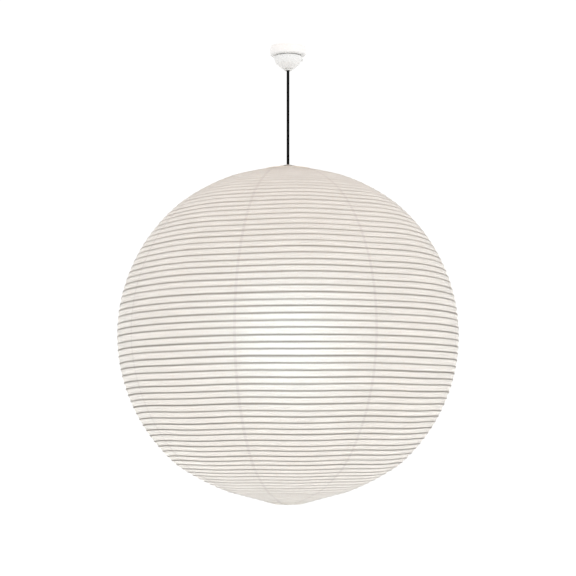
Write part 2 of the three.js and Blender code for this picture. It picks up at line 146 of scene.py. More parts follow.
class Look:
    """One material being built, with short calls for the nodes it uses."""

    def __init__(self, name):
        self.material = bpy.data.materials.new(name)
        self.material.use_nodes = True
        self.tree = self.material.node_tree
        self.tree.nodes.clear()
        self.place = self.add("ShaderNodeTexCoord").outputs["Object"]

    def add(self, kind, inputs=None, **settings):
        made = self.tree.nodes.new(kind)
        for key, value in settings.items():
            setattr(made, key, value)
        for key, value in (inputs or {}).items():
            if isinstance(value, bpy.types.NodeSocket):
                self.tree.links.new(value, made.inputs[key])
            else:
                made.inputs[key].default_value = value
        return made

    def stretched(self, scale):
        return self.add(
            "ShaderNodeMapping", {"Vector": self.place, "Scale": scale}
        ).outputs[0]

    def noise(self, scale, detail=3.0, roughness=0.55, distortion=0.0, vector=None):
        return self.add("ShaderNodeTexNoise", {
            "Vector": vector or self.place,
            "Scale": scale,
            "Detail": detail,
            "Roughness": roughness,
            "Distortion": distortion,
        }).outputs["Fac"]

    def fibres(self, scale, width, vector=None):
        """Thin wandering lines, 1 on a line and 0 between them."""
        warped = self.add("ShaderNodeTexNoise", {
            "Vector": vector or self.place,
            "Scale": scale * 0.6,
            "Detail": 2.0,
        }).outputs["Color"]
        bent = self.add("ShaderNodeVectorMath", {
            0: warped,
            1: (1.6 / scale, 1.6 / scale, 1.6 / scale),
            2: vector or self.place,
        }, operation="MULTIPLY_ADD").outputs[0]
        edge = self.add("ShaderNodeTexVoronoi", {
            "Vector": bent,
            "Scale": scale,
        }, feature="DISTANCE_TO_EDGE").outputs["Distance"]
        return self.remap(edge, 0, width, 1, 0)

    def remap(self, value, low, high, to_low, to_high):
        return self.add("ShaderNodeMapRange", {
            "Value": value,
            "From Min": low,
            "From Max": high,
            "To Min": to_low,
            "To Max": to_high,
        }).outputs["Result"]

    def maths(self, operation, a, b):
        return self.add("ShaderNodeMath", {0: a, 1: b}, operation=operation).outputs[0]

    def colours(self, share, first, second):
        mix = self.add("ShaderNodeMix", data_type="RGBA")
        sockets = (mix.inputs[0], mix.inputs[6], mix.inputs[7])
        for socket, value in zip(sockets, (share, first, second)):
            if isinstance(value, bpy.types.NodeSocket):
                self.tree.links.new(value, socket)
            else:
                socket.default_value = (*value, 1) if isinstance(value, tuple) else value
        return mix.outputs[2]

    def bump(self, height, distance, strength=1.0):
        return self.add("ShaderNodeBump", {
            "Height": height,
            "Distance": distance,
            "Strength": strength,
        }).outputs[0]

    def principled(self, **inputs):
        named = {key.replace("_", " "): value for key, value in inputs.items()}
        return self.add("ShaderNodeBsdfPrincipled", named).outputs[0]

    def mixed(self, share, first, second):
        return self.add("ShaderNodeMixShader", {0: share, 1: first, 2: second}).outputs[0]

    def finish(self, shader):
        self.add("ShaderNodeOutputMaterial", {"Surface": shader})
        return self.material


# ---------------------------------------------------------------- materials


def paper(name, scattered, forward, tint):
    """Mulberry paper: long fibres and soft clouds, seen mostly by the light behind it."""
    look = Look(name)
    clouds = look.noise(26, detail=5)
    strands = look.fibres(70, 0.035)
    threads = look.fibres(210, 0.05)
    grain = look.noise(1500, detail=2)
    body = look.colours(clouds, tuple(0.94 * c for c in tint), tint)
    body = look.colours(look.maths("MULTIPLY", strands, 0.35), body, (0.88, 0.80, 0.70))
    faint_threads = look.maths("MULTIPLY", threads, 0.25)
    through = look.colours(faint_threads, body, (0.80, 0.70, 0.60))
    relief = look.maths("ADD", look.maths("ADD", strands, threads), grain)
    normal = look.bump(relief, 0.00015, 0.6)
    front = look.add("ShaderNodeBsdfDiffuse", {"Color": body, "Normal": normal}).outputs[0]
    back = look.add("ShaderNodeBsdfTranslucent", {"Color": through, "Normal": normal}).outputs[0]
    beam = look.add("ShaderNodeBsdfRefraction", {
        "Color": look.colours(faint_threads, BEAM_COLOUR, (0.45, 0.50, 0.50)),
        "Roughness": 1.0,
        "IOR": 1.45,
        "Normal": normal,
    }).outputs[0]
    passed = look.mixed(forward, back, beam)
    return look.finish(look.mixed(scattered, front, passed))


def bamboo():
    """Split bamboo: brown strips with fine lengthways grain and darker nodes."""
    look = Look("bamboo")
    streaks = look.noise(900, detail=4, vector=look.stretched((0.05, 0.05, 1.0)))
    patches = look.noise(30, detail=2)
    colour = look.colours(streaks, (0.10, 0.08, 0.06), (0.20, 0.16, 0.12))
    colour = look.colours(look.remap(patches, 0.45, 0.7, 0, 0.5), colour, (0.11, 0.08, 0.06))
    return look.finish(look.principled(
        Base_Color=colour,
        Roughness=look.remap(streaks, 0, 1, 0.5, 0.75),
        Normal=look.bump(streaks, 0.0002, 0.5),
    ))


def drawn_wire():
    """Drawn steel wire: lengthways die marks with a few dull patches."""
    look = Look("frame_wire")
    marks = look.noise(2600, detail=3, vector=look.stretched((1.0, 1.0, 0.04)))
    patches = look.noise(45, detail=4, roughness=0.65)
    dulled = look.remap(patches, 0.5, 0.72, 0, 1)
    polished = look.remap(marks, 0, 1, 0.23, 0.37)
    return look.finish(look.principled(
        Base_Color=look.colours(dulled, (0.34, 0.34, 0.33), (0.22, 0.21, 0.20)),
        Metallic=1.0,
        Roughness=look.maths("ADD", polished, look.maths("MULTIPLY", dulled, 0.18)),
        Normal=look.bump(marks, 0.00004, 0.6),
    ))


def painted_wire():
    """Off-white paint on wire: soft runs, and grey steel where the paint has chipped."""
    look = Look("hoop_wire")
    runs = look.noise(300, detail=3)
    chips = look.remap(look.noise(160, detail=5, roughness=0.7), 0.66, 0.70, 0, 1)
    return look.finish(look.principled(
        Base_Color=look.colours(chips, (0.78, 0.76, 0.72), (0.30, 0.29, 0.28)),
        Roughness=look.remap(runs, 0, 1, 0.35, 0.5),
        Normal=look.bump(runs, 0.0001, 0.4),
    ))


def moulded(name, colour, roughness, grain=0.00002, wear=0.04):
    """Injection-moulded plastic: faint spark-eroded grain and slightly uneven gloss."""
    look = Look(name)
    spark = look.noise(1100, detail=2)
    clouds = look.noise(60, detail=4)
    darker = tuple(c * (1 - wear) for c in colour)
    return look.finish(look.principled(
        Base_Color=look.colours(clouds, darker, colour),
        Roughness=look.remap(clouds, 0.3, 0.7, roughness - 0.05, roughness + 0.07),
        Normal=look.bump(spark, grain, 0.35),
        IOR=1.46,
    ))


def flex_sheath():
    """Black PVC flex: soft sheen, scuffs along it and a slight extrusion waviness."""
    look = Look("cord")
    scuffs = look.noise(500, detail=3, roughness=0.6, vector=look.stretched((1.0, 1.0, 0.15)))
    ripple = look.noise(90, detail=2, vector=look.stretched((0.3, 0.3, 1.0)))
    return look.finish(look.principled(
        Base_Color=look.colours(scuffs, (0.0015, 0.0015, 0.0015), (0.004, 0.004, 0.004)),
        Roughness=look.remap(scuffs, 0.3, 0.7, 0.7, 0.82),
        Normal=look.bump(ripple, 0.0002, 0.2),
        IOR=1.4,
        Specular_IOR_Level=0.04,
    ))


def ceramic():
    """Unglazed white ceramic: a fine sandy grain with pinholes and a slightly warm body."""
    look = Look("ceramic")
    pits = look.remap(look.noise(1200, detail=2), 0.68, 0.75, 0, 1)
    clouds = look.noise(80, detail=3)
    return look.finish(look.principled(
        Base_Color=look.colours(clouds, (0.80, 0.77, 0.71), (0.88, 0.86, 0.81)),
        Roughness=look.remap(clouds, 0, 1, 0.55, 0.75),
        Normal=look.bump(pits, 0.0001, 0.4),
        IOR=1.55,
    ))


def pressed_metal(name, colour, tarnish, roughness):
    """Stamped sheet metal: fine scratches in all directions and tarnish in patches."""
    look = Look(name)
    scratches = look.fibres(900, 0.03)
    patches = look.noise(120, detail=5, roughness=0.65)
    dulled = look.remap(patches, 0.48, 0.75, 0, 0.8)
    return look.finish(look.principled(
        Base_Color=look.colours(dulled, colour, tarnish),
        Metallic=1.0,
        Roughness=look.remap(patches, 0.3, 0.8, roughness, roughness + 0.22),
        Normal=look.bump(scratches, 0.00003, 0.4),
    ))


def black_glass():
    """The bulb cap's fused glass insulator, with flow lines."""
    look = Look("cap_glass")
    flow = look.noise(500, detail=3, distortion=1.5)
    return look.finish(look.principled(
        Base_Color=look.colours(flow, (0.010, 0.010, 0.013), (0.030, 0.030, 0.036)),
        Roughness=look.remap(flow, 0, 1, 0.06, 0.2),
        Normal=look.bump(flow, 0.0001, 0.4),
        IOR=1.6,
    ))


def circuit_board(name, mask, copper):
    """Solder mask with the tracks showing through as low ridges."""
    look = Look(name)
    tracks = look.add("ShaderNodeTexBrick", {
        "Vector": look.place,
        "Scale": 260.0,
        "Mortar Size": 0.03,
    }).outputs["Fac"]
    speckle = look.noise(1800, detail=2)
    return look.finish(look.principled(
        Base_Color=look.colours(look.maths("MULTIPLY", tracks, 0.5), mask, copper),
        Roughness=look.remap(speckle, 0, 1, 0.3, 0.5),
        Normal=look.bump(tracks, 0.00006, 0.6),
    ))


def phosphor():
    """The LED ring: yellow phosphor gel in beads, lit."""
    look = Look("phosphor")
    beads = look.add("ShaderNodeTexVoronoi", {
        "Vector": look.place,
        "Scale": 400.0,
    }).outputs["Distance"]
    return look.finish(look.principled(
        Base_Color=look.colours(beads, (0.95, 0.72, 0.20), (0.80, 0.52, 0.10)),
        Roughness=look.remap(beads, 0, 1, 0.3, 0.6),
        Normal=look.bump(beads, 0.0002, 0.5),
        Emission_Color=(1.0, 0.80, 0.52, 1),
        Emission_Strength=GLOBE_GLOW / 2,
    ))


def opal():
    """The bulb's opal globe, evenly lit, with a fine blasted surface."""
    look = Look("bulb_globe")
    blasted = look.noise(2000, detail=2)
    return look.finish(look.principled(
        Base_Color=look.colours(blasted, (0.86, 0.85, 0.82), (0.93, 0.92, 0.90)),
        Roughness=look.remap(blasted, 0, 1, 0.4, 0.6),
        Normal=look.bump(blasted, 0.00003, 0.4),
        Emission_Color=(*GLOBE_COLOUR, 1),
        Emission_Strength=GLOBE_GLOW,
    ))


def studio_floor():
    """A painted floor: pale and matt, with faint roller texture."""
    look = Look("studio_floor")
    roller = look.noise(40, detail=5)
    return look.finish(look.principled(
        Base_Color=look.colours(roller, (0.90, 0.90, 0.90), (0.94, 0.94, 0.94)),
        Roughness=look.remap(roller, 0, 1, 0.7, 0.9),
        Normal=look.bump(roller, 0.0005, 0.3),
    ))


PAPER = paper("paper", scattered=0.80, forward=0.125, tint=(0.955, 0.925, 0.895))
LAP_PAPER = paper("lap_paper", scattered=0.80, forward=0.09, tint=(0.885, 0.855, 0.84))
CUFF_PAPER = paper("cuff_paper", scattered=0.85, forward=0.1, tint=(0.98, 0.94, 0.89))
BAMBOO = bamboo()
FRAME_WIRE = drawn_wire()
HOOP_WIRE = painted_wire()
CORD = flex_sheath()
ROSETTE = moulded("rosette", (0.86, 0.86, 0.85), 0.38)
PLUG = moulded("plug", (0.87, 0.87, 0.86), 0.33)
BUSHING = moulded("bushing", (0.82, 0.82, 0.80), 0.55, grain=0.00008)
BUTTON = moulded("button", (0.78, 0.78, 0.76), 0.45)
HOLDER = moulded("holder", (0.84, 0.83, 0.80), 0.30)
CERAMIC = ceramic()
NICKEL = pressed_metal("nickel", (0.66, 0.64, 0.60), (0.42, 0.39, 0.35), 0.2)
BRASS = pressed_metal("brass", (0.78, 0.56, 0.26), (0.45, 0.30, 0.14), 0.22)
SCREW = pressed_metal("screw", (0.62, 0.62, 0.63), (0.38, 0.37, 0.36), 0.28)
CAP_GLASS = black_glass()
HOUSING = moulded("bulb_housing", (0.88, 0.88, 0.86), 0.35)
CIRCUIT = circuit_board("circuit_board", (0.10, 0.30, 0.16), (0.45, 0.42, 0.16))
LED_PLATE = circuit_board("led_plate", (0.84, 0.85, 0.84), (0.62, 0.58, 0.48))
PHOSPHOR = phosphor()
OPAL = opal()

# ---------------------------------------------------------------- pieces


def add_piece(name, data, body, material, node=None):
    """Puts a mesh or curve in the scene as one piece, in the place of a CAD node."""
    made = bpy.data.objects.new(name, data)
    bpy.context.scene.collection.objects.link(made)
    if not made.data.materials:
        made.data.materials.append(material)
    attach(made, body)
    if node:
        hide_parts(node)
    return made


def shaded(mesh, sharp_angle=math.radians(40)):
    mesh.shade_smooth()
    mesh.set_sharp_from_angle(angle=sharp_angle)
    return mesh


def from_grid(points, wrap_rows=False, wrap_columns=False):
    """A mesh from an array of rows x columns x 3, closed round its rows or columns."""
    rows, columns = points.shape[:2]
    down = np.arange(rows if wrap_rows else rows - 1)
    across = np.arange(columns if wrap_columns else columns - 1)
    i, j = (axis.ravel() for axis in np.meshgrid(down, across, indexing="ij"))
    below, beside = (i + 1) % rows, (j + 1) % columns
    faces = np.stack(
        [i * columns + j, below * columns + j, below * columns + beside, i * columns + beside],
        axis=1,
    )
    mesh = bpy.data.meshes.new("grid")
    mesh.from_pydata(points.reshape(-1, 3).tolist(), [], faces.tolist())
    return mesh


WELD_DISTANCE = 1e-6
SHORTEST_EDGE = 1e-7


def cleaned(mesh, hole_sides=0):
    """Welds doubled points, fills open ends and turns every face outwards."""
    work = bmesh.new()
    work.from_mesh(mesh)
    bmesh.ops.remove_doubles(work, verts=work.verts, dist=WELD_DISTANCE)
    bmesh.ops.dissolve_degenerate(work, dist=SHORTEST_EDGE, edges=work.edges)
    if hole_sides:
        bmesh.ops.holes_fill(work, edges=work.edges, sides=hole_sides)
    bmesh.ops.recalc_face_normals(work, faces=work.faces)
    work.to_mesh(mesh)
    work.free()
    return mesh


# ---------------------------------------------------------------- turned shapes

SHORTEST_REACH = 0.02  # in millimetres; corners with less room stay sharp
FLUTED_DEPTH = 3  # in millimetres; only the outermost wall has flutes


def rounded(profile, radius, steps=4):
    """The profile with an arc of about this radius at each of its sharp corners."""
    on_axis = profile[0][0] == 0
    points = [np.array(point, float) for point in profile]
    made = []
    for index, corner in enumerate(points):
        before, after = points[index - 1], points[(index + 1) % len(points)]
        at_end = on_axis and index in (0, len(points) - 1)
        back, ahead = before - corner, after - corner
        reach = min(radius, 0.4 * np.linalg.norm(back), 0.4 * np.linalg.norm(ahead))
        if at_end or reach < SHORTEST_REACH:
            made.append(corner)
            continue
        start = corner + reach * back / np.linalg.norm(back)
        end = corner + reach * ahead / np.linalg.norm(ahead)
        for share in np.linspace(0, 1, steps + 1):
            bend = (1 - share) ** 2 * start + 2 * share * (1 - share) * corner
            made.append(bend + share**2 * end)
    return made


def turned(profile, z=0.0, segments=72, flutes=None, thread=None):
    """A profile of (radius, height) points in millimetres turned round the Z axis.

    flutes is (count, depth, low, high): hollows down the outside between two heights.
    thread is (pitch, depth, low, high): a rolled thread between two heights.
    """
    on_axis = profile[0][0] == 0
    radius = np.array([point[0] for point in profile])[:, None]
    height = np.array([point[1] for point in profile])[:, None]
    angle = np.linspace(0, 2 * np.pi, segments, endpoint=False)[None, :]
    radius = np.repeat(radius, segments, axis=1)
    if flutes:
        count, depth, low, high = flutes
        held = np.clip(np.minimum(height - low, high - height), 0, 1)
        outside = radius > radius.max() - FLUTED_DEPTH
        radius = radius - depth * held * outside * (0.5 - 0.5 * np.cos(count * angle)) ** 2
    if thread:
        pitch, depth, low, high = thread
        held = np.clip(np.minimum(height - low, high - height) / pitch * 2, 0, 1)
        radius = radius - depth * held * (0.5 - 0.5 * np.cos(2 * np.pi * height / pitch - angle))
    points = np.stack([
        MM * radius * np.cos(angle),
        MM * radius * np.sin(angle),
        np.broadcast_to(MM * height, radius.shape) + z,
    ], axis=2)
    mesh = from_grid(points, wrap_rows=not on_axis, wrap_columns=True)
    return shaded(cleaned(mesh))


def moved(mesh, x, y):
    """The mesh, moved sideways by millimetres."""
    mesh.transform(Matrix.Translation((MM * x, MM * y, 0)))
    return mesh


def arc_block(inner, outer, start, end, low, high, steps=16):
    """Part of a flat ring between two angles, as a cutter."""
    work = bmesh.new()
    angles = np.linspace(start, end, steps + 1)
    outline = [(outer * math.cos(a), outer * math.sin(a)) for a in angles]
    outline += [(inner * math.cos(a), inner * math.sin(a)) for a in angles[::-1]]
    face = work.faces.new([work.verts.new((MM * x, MM * y, MM * low)) for x, y in outline])
    lifted = bmesh.ops.extrude_face_region(work, geom=[face])["geom"]
    tops = [item for item in lifted if isinstance(item, bmesh.types.BMVert)]
    bmesh.ops.translate(work, verts=tops, vec=(0, 0, MM * (high - low)))
    bmesh.ops.recalc_face_normals(work, faces=work.faces)
    mesh = bpy.data.meshes.new("cutter")
    work.to_mesh(mesh)
    work.free()
    return mesh


def box_mesh(size, centre, bevel=0.0):
    """A block in millimetres, its edges rounded by bevel."""
    work = bmesh.new()
    bmesh.ops.create_cube(work, size=1)
    bmesh.ops.scale(work, vec=[MM * side for side in size], verts=work.verts)
    bmesh.ops.translate(work, vec=[MM * along for along in centre], verts=work.verts)
    if bevel:
        bmesh.ops.bevel(work, geom=work.edges, offset=MM * bevel, segments=3, profile=0.5,
                        affect="EDGES")
    mesh = bpy.data.meshes.new("block")
    work.to_mesh(mesh)
    work.free()
    return mesh


def combined(mesh, tools, operation):
    """The mesh with each tool cut from it or joined to it."""
    collection = bpy.context.scene.collection
    base = bpy.data.objects.new("base", mesh)
    collection.objects.link(base)
    helpers = []
    for tool in tools:
        helper = bpy.data.objects.new("tool", tool)
        collection.objects.link(helper)
        step = base.modifiers.new("step", "BOOLEAN")
        step.object = helper
        step.operation = operation
        step.solver = "EXACT"
        helpers.append(helper)
    depsgraph = bpy.context.evaluated_depsgraph_get()
    result = bpy.data.meshes.new_from_object(base.evaluated_get(depsgraph))
    for item in (base, *helpers):
        bpy.data.objects.remove(item)
    return shaded(cleaned(result))


# ---------------------------------------------------------------- swept shapes


def swept(path, sides_of, closed=False):
    """A tube along the path, whose section at each point comes from sides_of(index)."""
    points = np.stack([point + sides_of(index) for index, point in enumerate(path)])
    mesh = from_grid(points, wrap_rows=closed, wrap_columns=True)
    return shaded(cleaned(mesh, 0 if closed else points.shape[1]))


def catmull_rom(points, steps):
    """Points on a centripetal curve through the given points, open at both ends."""
    ends = [2 * points[0] - points[1], *points, 2 * points[-1] - points[-2]]
    made = []
    for before, start, end, after in zip(ends, ends[1:], ends[2:], ends[3:]):
        t1 = np.linalg.norm(start - before) ** 0.5
        t2 = t1 + np.linalg.norm(end - start) ** 0.5
        t3 = t2 + np.linalg.norm(after - end) ** 0.5
        for t in np.linspace(t1, t2, steps, endpoint=False):
            a = (t1 - t) / t1 * before + t / t1 * start
            b = (t2 - t) / (t2 - t1) * start + (t - t1) / (t2 - t1) * end
            c = (t3 - t) / (t3 - t2) * end + (t - t2) / (t3 - t2) * after
            d = (t2 - t) / t2 * a + t / t2 * b
            e = (t3 - t) / (t3 - t1) * b + (t - t1) / (t3 - t1) * c
            made.append((t2 - t) / (t2 - t1) * d + (t - t1) / (t2 - t1) * e)
    made.append(points[-1])
    return np.array(made)


def wire(points, steps=8, sides=14):
    """Frame wire through (x, z) points in the plane y = 0, heights from the shade's centre."""
    knots = [np.array((MM * x, 0, SHADE_CENTRE_Z + MM * z)) for x, z in points]
    path = catmull_rom(knots, steps)
    along = np.gradient(path, axis=0)
    along /= np.linalg.norm(along, axis=1)[:, None]
    turn = np.linspace(0, 2 * np.pi, sides, endpoint=False)[:, None]
    across = np.array((0.0, 1.0, 0.0))

    def section(index):
        side = np.cross(along[index], across)
        return FRAME_WIRE_RADIUS * (np.cos(turn) * side + np.sin(turn) * across)

    return swept(path, section)


def ring(ring_radius, wire_radius, z, around=96, sides=16):
    """A closed ring of wire round the Z axis, in metres."""
    angle = np.linspace(0, 2 * np.pi, around, endpoint=False)
    outward = np.stack([np.cos(angle), np.sin(angle), 0 * angle], axis=1)
    path = np.array((0.0, 0.0, z)) + ring_radius * outward
    turn = np.linspace(0, 2 * np.pi, sides, endpoint=False)[:, None]
    up = np.array((0.0, 0.0, 1.0))
    return swept(
        path,
        lambda index: wire_radius * (np.cos(turn) * outward[index] + np.sin(turn) * up),
        closed=True,
    )


# ---------------------------------------------------------------- ceiling rosette and plug

ROSETTE_LOW = -22  # these lengths in millimetres
MOUNTING_SCREW_X = 29
SCREW_HOLE_RADIUS = 2.4
CABLE_HOLE_RADIUS = 5
CABLE_HOLE_Y = 12
BLADE_RADIUS = 16
SLOT_HALF_ANGLE = math.radians(16) + 0.05  # half of a blade's arc, and some ease
LOCK_TURN = math.radians(25)
BUSHING_EASE = 0.85  # room round the flex
HOLDER_EASE = 0.3
HOLE_TURN = 2 * math.pi * 0.999  # a cutter's arc has to stop short of a full turn
HOLE_INNER_RADIUS = 0.001


def hole_cutter(radius, x, y):
    """A round hole through the rosette's back plate, as a cutter."""
    return moved(arc_block(HOLE_INNER_RADIUS, radius, 0, HOLE_TURN, -6, 1), x, y)


def add_rosette():
    base = turned(rounded([(0, -5), (38.5, -5), (38.5, 0), (0, 0)], 0.6), segments=96)
    holes = [
        hole_cutter(SCREW_HOLE_RADIUS, -MOUNTING_SCREW_X, 0),
        hole_cutter(SCREW_HOLE_RADIUS, MOUNTING_SCREW_X, 0),
        hole_cutter(CABLE_HOLE_RADIUS, 0, CABLE_HOLE_Y),
    ]
    base = combined(base, holes, "DIFFERENCE")
    add_piece("rosette_back", base, "ceiling", ROSETTE, "rosette_base")

    drum = turned(rounded([
        (0, ROSETTE_LOW), (34, ROSETTE_LOW), (34.4, -21.4), (35.4, -21.4), (35.8, ROSETTE_LOW),
        (38, ROSETTE_LOW), (40, -20), (40, -5.3), (37.5, -5.3), (37.5, -19), (0, -19),
    ], 0.5), segments=96)
    slots = []
    for side in (0, math.pi):
        start = side - SLOT_HALF_ANGLE
        end = side + LOCK_TURN + SLOT_HALF_ANGLE
        entry = start + LOCK_TURN
        slots.append(arc_block(BLADE_RADIUS - 1.2, BLADE_RADIUS + 1.2, start, end, -23, -18))
        slots.append(arc_block(BLADE_RADIUS, BLADE_RADIUS + 5.2, entry, end, -23, -18))
    drum = combined(drum, slots, "DIFFERENCE")
    add_piece("rosette_drum", drum, "ceiling", ROSETTE, "rosette_cover")


def add_plug():
    shell = turned(rounded([
        (28.4, -24), (31, -24), (31, -31), (30.2, -33.2), (27, -40), (18, -48), (13, -52),
        (8.4, -52), (8.4, -46), (15, -43.6), (24, -38), (27.6, -31.4), (27.6, -27.8),
        (28.4, -27.8),
    ], 0.8), segments=288, flutes=(36, 0.7, -31.6, -24.6))
    window = box_mesh((12, 8.6, 5.4), (28, 0, -31.5))
    shell = combined(shell, [window], "DIFFERENCE")
    add_piece("plug_shell", shell, "plug", PLUG, "plug_cover")

    button = combined(
        box_mesh((9, 7.8, 4.6), (28.7, 0, -31.5), 0.7),
        [box_mesh((1.2, 10.6, 5.6), (24, 0, -31.5), 0.2)],
        "UNION",
    )
    add_piece("lock_key", button, "lock_button", BUTTON, "lock_button")

    bore = CORD_RADIUS / MM + BUSHING_EASE
    bushing = turned(rounded([
        (bore, -50), (bore + 0.5, -53), (bore + 1.9, -56), (7.4, -56), (9.4, -54.4),
        (9.4, -52.3), (8.1, -52.3), (8.1, -46.3), (bore + 1.2, -46.3),
    ], 0.5))
    add_piece("flex_bushing", bushing, "plug", BUSHING, "cord_bushing")


# ---------------------------------------------------------------- cord


def add_cord():
    """The flex hangs straight, held by the anchor above and the lampholder below."""
    curve = bpy.data.curves.new("flex", "CURVE")
    curve.dimensions = "3D"
    curve.bevel_depth = CORD_RADIUS
    curve.bevel_resolution = 6
    curve.use_fill_caps = True
    spline = curve.splines.new("POLY")
    heights = np.linspace(CORD_TOP_Z, CORD_BOTTOM_Z, 25)
    spline.points.add(len(heights) - 1)
    for point, z in zip(spline.points, heights):
        point.co = (0, 0, z, 1)
    flex = add_piece("flex", curve, "pendant", CORD, "cord")


# ---------------------------------------------------------------- lampholder and bulb


def add_holder():
    bore = CORD_RADIUS / MM + HOLDER_EASE
    shapes = {
        "holder_grip": ("holder_cord_grip", "pendant", [
            (bore, 118.4), (7.5, 118.4), (7.5, 124), (5, 130), (bore, 130),
        ], None),
        "holder_dome": ("holder_cap", "pendant", [
            (19.5, 92.3), (22.5, 92.3), (22.5, 103), (18.5, 111), (9, 118),
            (bore, 118), (bore, 115.5), (16, 109.5), (19.5, 102),
        ], (32, 0.5, 93, 102)),
        "holder_body": ("holder_shell", "pendant", [
            (16.4, 50), (19.7, 50), (19.7, 75), (22.5, 78),
            (22.5, 92), (17.6, 92), (17.6, 82), (16.4, 82),
        ], None),
        "ring_upper": ("shade_ring_upper", "pendant", [
            (20, 64.6), (27, 64.6), (27, 68), (25, 70.4), (20, 70.4),
        ], (40, 0.6, 64.8, 68.5)),
        "ring_lower": ("shade_ring_lower", "retaining_ring", [
            (20, 53.6), (26, 53.6), (28, 55.6), (28, 60.6), (20, 60.6),
        ], (40, 0.6, 55, 60.4)),
    }
    for name, (node, body, profile, flutes) in shapes.items():
        mesh = turned(rounded(profile, 0.6), SHADE_CENTRE_Z, 320 if flutes else 72, flutes)
        add_piece(name, mesh, body, HOLDER, node)

    rows = np.linspace(55, 80, 90)
    sleeve = [(14.6, z) for z in rows] + [(13.8, z) for z in rows[::-1]]
    mesh = turned(sleeve, SHADE_CENTRE_Z, thread=(3.6, 0.5, 56, 79))
    add_piece("holder_thread", mesh, "pendant", NICKEL, "holder_screw_shell")


def globe_arc(radius, rim_z, steps=24):
    """Points of a globe's side from its lowest point up to its rim."""
    rim_angle = math.pi - math.acos(rim_z / radius)
    angles = np.linspace(0, rim_angle, steps)
    return [(radius * math.sin(a), -radius * math.cos(a)) for a in angles]


def add_bulb():
    rows = np.linspace(54, 73.5, 80)
    outside = [(13.2, z) for z in rows] + [(9, 77.4), (5.3, 77.4), (5.3, 76.7), (8.7, 76.7)]
    inside = [(12.5, z) for z in np.linspace(73, 54, 78)]
    mesh = turned([*outside, *inside], SHADE_CENTRE_Z, thread=(3.6, 0.5, 56, 73))
    add_piece("bulb_cap", mesh, "bulb", NICKEL, "bulb_screw_cap")

    housing = turned(rounded([
        (12.8, 53.7), (14, 53.7), (15.6, 47), (22, 30), (26.2, 16), (26.6, 15.6), (27.6, 12),
        (26.4, 12), (20.8, 30), (14.4, 47),
    ], 0.5), SHADE_CENTRE_Z)
    add_piece("bulb_body", housing, "bulb", HOUSING, "bulb_housing")

    outside = globe_arc(30.0, 11.7)
    inside = globe_arc(28.8, 11.7)[::-1]
    dome = turned([*outside, *inside], SHADE_CENTRE_Z, 48)
    add_piece("bulb_dome", dome, "bulb", OPAL, "bulb_globe")


# ---------------------------------------------------------------- wire frame


def ferrule(x, z, tall=6.0, radius=2.5, bore=1.7):
    """A crimped sleeve round a wire that stands at x, heights from the shade's centre."""
    mesh = turned(rounded([
        (bore, z - tall / 2), (radius, z - tall / 2),
        (radius, z + tall / 2), (bore, z + tall / 2),
    ], 0.4), SHADE_CENTRE_Z, 32)
    return moved(mesh, x, 0)


def add_wire(name, mesh, node=None):
    add_piece(name, mesh, "shade", FRAME_WIRE, node)


def add_leg(side_name, side):
    leg = wire([
        (side * LEG_X, -330), (side * LEG_X, 0), (side * LEG_X, 344),
        (side * (LEG_X + 1.2), 351), (side * KNEE_X, 359.6),
        (side * (KNEE_X - 1.5), 363), (side * 41, 366.2),
    ])
    add_wire(f"leg_{side_name}", leg, f"frame_leg_{side_name}")
    add_wire(f"ferrule_arm_{side_name}", ferrule(side * LEG_X, CLAMP_Z))
    add_wire(f"ferrule_foot_{side_name}", ferrule(side * LEG_X, -330.1))


def ring_with_arms(radius, z, arm, around):
    """A wire ring in millimetres, with the same arm to its left and right."""
    arms = [wire([(side * x, height) for x, height in arm]) for side in (-1, 1)]
    height = SHADE_CENTRE_Z + MM * z
    middle = ring(MM * radius, FRAME_WIRE_RADIUS, height, around=around, sides=14)
    return combined(middle, arms, "UNION")


def add_frame():
    add_leg("left", -1)
    add_leg("right", 1)
    bar = [(40.4, 367.1), (30, 370.6), (18, 374.6), (9, EYE_Z)]
    add_wire("top_bar", ring_with_arms(9, EYE_Z, bar, around=64), "frame_top_bar")
    arm = [(22.3, CLAMP_Z), (40.1, CLAMP_Z)]
    add_wire("clamp_ring", ring_with_arms(22.3, CLAMP_Z, arm, around=80), "frame_holder_ring")

    hoop_top = BOTTOM_HOOP_Z - SHADE_CENTRE_Z + HOOP_WIRE_RADIUS
    over_hoop = (hoop_top + FRAME_WIRE_RADIUS) / MM + 0.5
    half = [(42, -330.3), (41, -343), (37, -356), (29, over_hoop), (22, -367), (11, -370)]
    foot = wire([*half, (0, -370.9), *((-x, z) for x, z in reversed(half))])
    add_wire("foot", foot, "frame_foot")


# ---------------------------------------------------------------- paper shade


def drawn_in(from_pole, cap):
    """How far the paper is drawn in at an angle from its pole, as a share of the radius."""
    tip, slack, cone = cap
    t = np.clip(from_pole / CAP_ANGLE, 0, 1)
    u = np.clip((from_pole - CONE_START) / (CONE_END - CONE_START), 0, 1)
    return tip * (1 - t) ** 2 + slack * 4 * t * (1 - t) + cone * 4 * u * (1 - u)


def shade_points(polar, azimuth, inset):
    """Points of the shade's surface, set in from the paper's outer face."""
    pull = SEAM_PULL * np.sin(2 * polar) * np.cos(GORE_COUNT * (azimuth - FIRST_SEAM))
    polar = polar + pull
    upper = polar < math.pi / 2
    share = np.where(upper, drawn_in(polar, TOP_CAP), drawn_in(math.pi - polar, BOTTOM_CAP))
    distance = SHADE_RADIUS * (1 - share) - inset
    return np.stack([
        distance * np.sin(polar) * np.cos(azimuth),
        distance * np.sin(polar) * np.sin(azimuth),
        SHADE_CENTRE_Z + distance * np.cos(polar),
    ], axis=-1)


